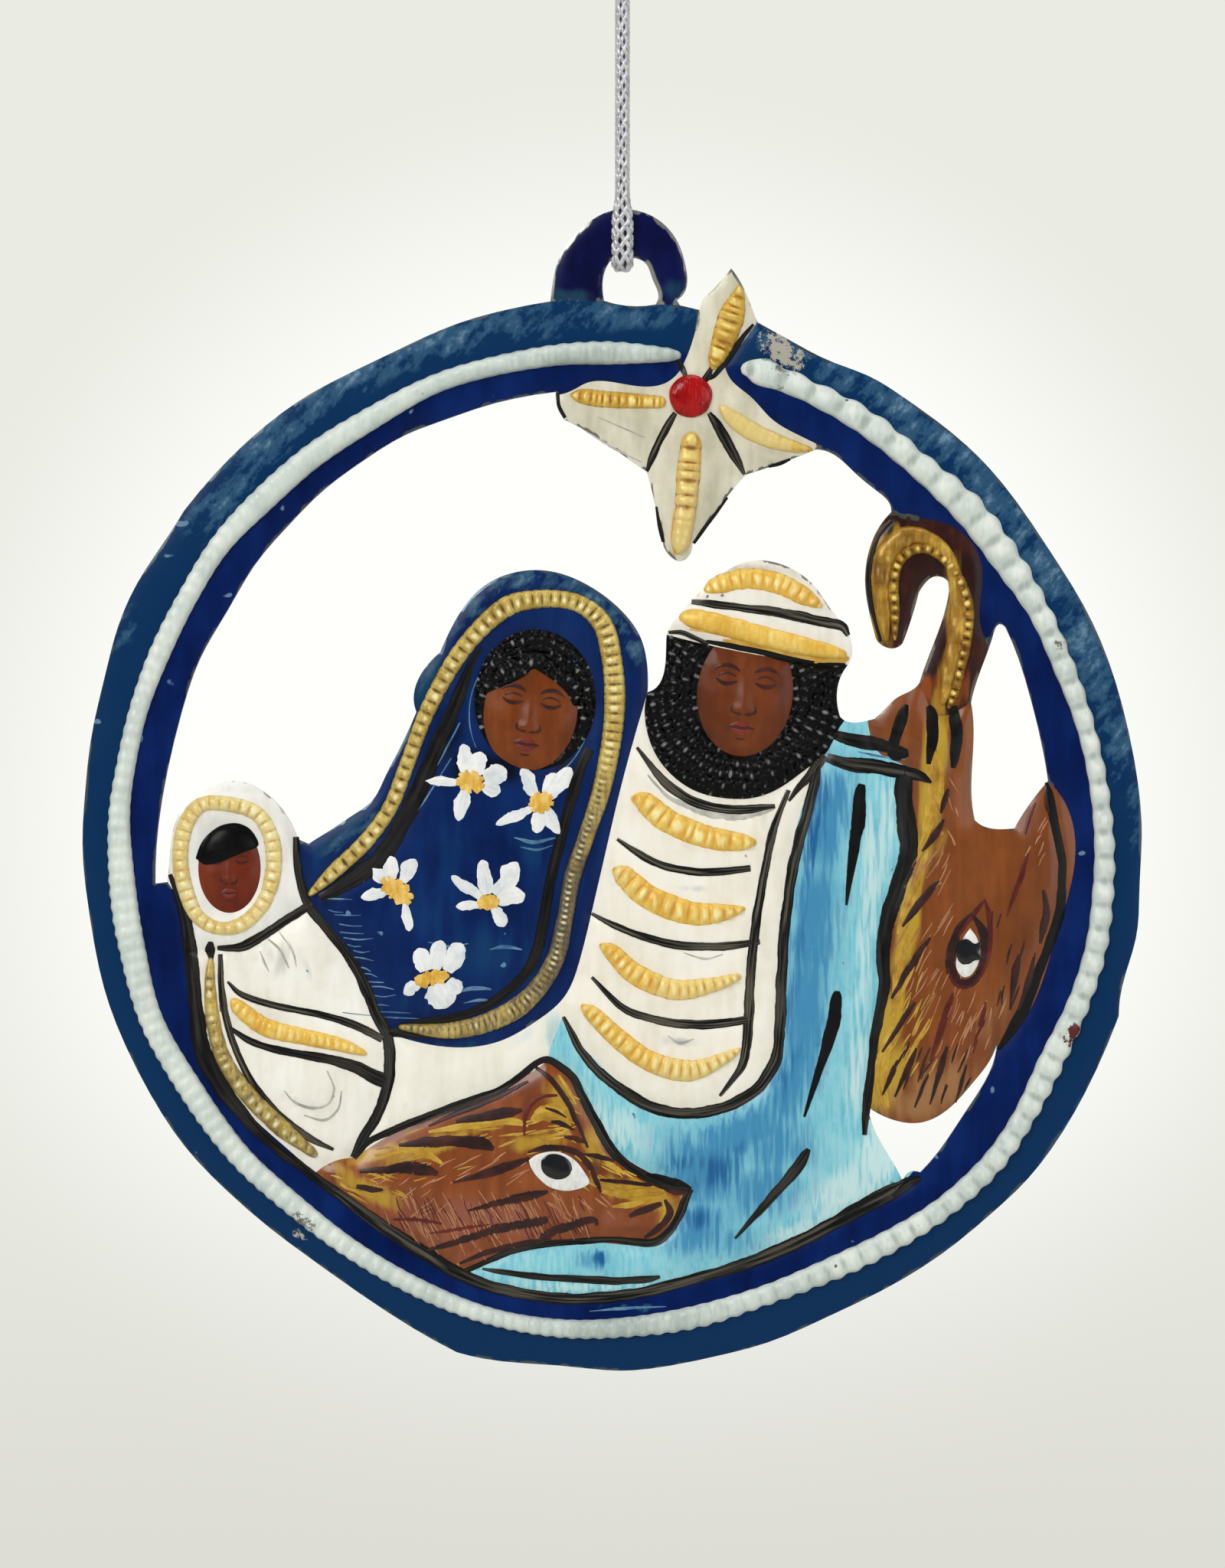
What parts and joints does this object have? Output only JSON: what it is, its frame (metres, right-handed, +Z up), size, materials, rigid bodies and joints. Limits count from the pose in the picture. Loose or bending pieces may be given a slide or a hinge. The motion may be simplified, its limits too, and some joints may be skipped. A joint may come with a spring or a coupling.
{
  "type": "hanging tin ornament",
  "caption": "Flat round ornament of cut, chased and painted tin with a pierced scene, a star and a beaded band, hung by an eyed tab on a knotted cord loop.",
  "frame": {"origin": "inside top of the hanging cord loop, where a hook or nail carries it", "axes": "+Z up along the hanging cord, +X to the viewer's right across the disc, +Y to the back, so the painted front faces -Y"},
  "size_m": [0.095, 0.0055, 0.1442],
  "materials": {
    "border_blue": "dark teal blue paint on tin, scuffed on the outer rim",
    "band_white": "off-white paint over raised beads, satin",
    "tab_blue": "dark blue paint on tin, worn, satin",
    "star_white": "warm white paint, satin",
    "gold_paint": "metallic gold paint, satin with worn ridges",
    "red_enamel": "raised drop of glossy red enamel",
    "skin_brown": "brown paint, satin",
    "hair_black": "glossy black paint over small punched curls",
    "gown_blue": "deep blue paint with small painted flowers, satin",
    "veil_blue": "deep blue translucent lacquer on tin, satin",
    "trim_gold": "metallic gold paint over small beads",
    "turban_white": "warm white paint with black lines, satin",
    "robe_white": "warm white paint with dark lines, satin",
    "cloak_blue": "light blue paint mottled with mid blue, satin",
    "hem_white": "white paint, satin",
    "swaddle_white": "warm white paint with dark lines, satin",
    "hood_white": "warm white paint, satin",
    "ox_brown": "brown and ochre paint with stippled hair, satin",
    "donkey_brown": "brown paint with gold and dark fur strokes, satin",
    "crook_brown": "dark brown paint, satin",
    "cord_silver": "braided metallic silver cord"
  },
  "bodies": {
    "loop": {"cord_loop": "cord_silver"},
    "knot": {"cord_knot": "cord_silver"},
    "strands": {"cord_strands": "cord_silver"},
    "plate": {"disc_border": "border_blue", "disc_band": "band_white", "hanger_tab": "tab_blue", "star": "star_white", "star_ribs": "gold_paint", "star_dot": "red_enamel", "veiled_face": "skin_brown", "veiled_hair": "hair_black", "veiled_gown": "gown_blue", "veiled_veil": "veil_blue", "veil_trim": "trim_gold", "bearded_face": "skin_brown", "bearded_beard": "hair_black", "bearded_turban": "turban_white", "turban_bands": "gold_paint", "bearded_robe": "robe_white", "robe_bands": "gold_paint", "bearded_hem": "hem_white", "bearded_cloak": "cloak_blue", "infant_face": "skin_brown", "infant_hood": "hood_white", "hood_trim": "trim_gold", "infant_swaddle": "swaddle_white", "swaddle_bands": "trim_gold", "ox_head": "ox_brown", "donkey_head": "donkey_brown", "shepherd_crook": "crook_brown", "crook_rib": "trim_gold"}
  },
  "joints": [
    {"name": "spin", "type": "hinge", "parent": "loop", "child": "knot", "pos_m": [0, 0, -0.0154], "axis": [0, 0, 1], "range_deg": [-180, 180]},
    {"name": "swing", "type": "hinge", "parent": "knot", "child": "strands", "pos_m": [0, 0, -0.0193], "axis": [1, 0, 0], "range_deg": [-30, 30]},
    {"name": "rock", "type": "hinge", "parent": "strands", "child": "plate", "pos_m": [0, 0, -0.0439], "axis": [0, 1, 0], "range_deg": [-35, 35]}
  ]
}
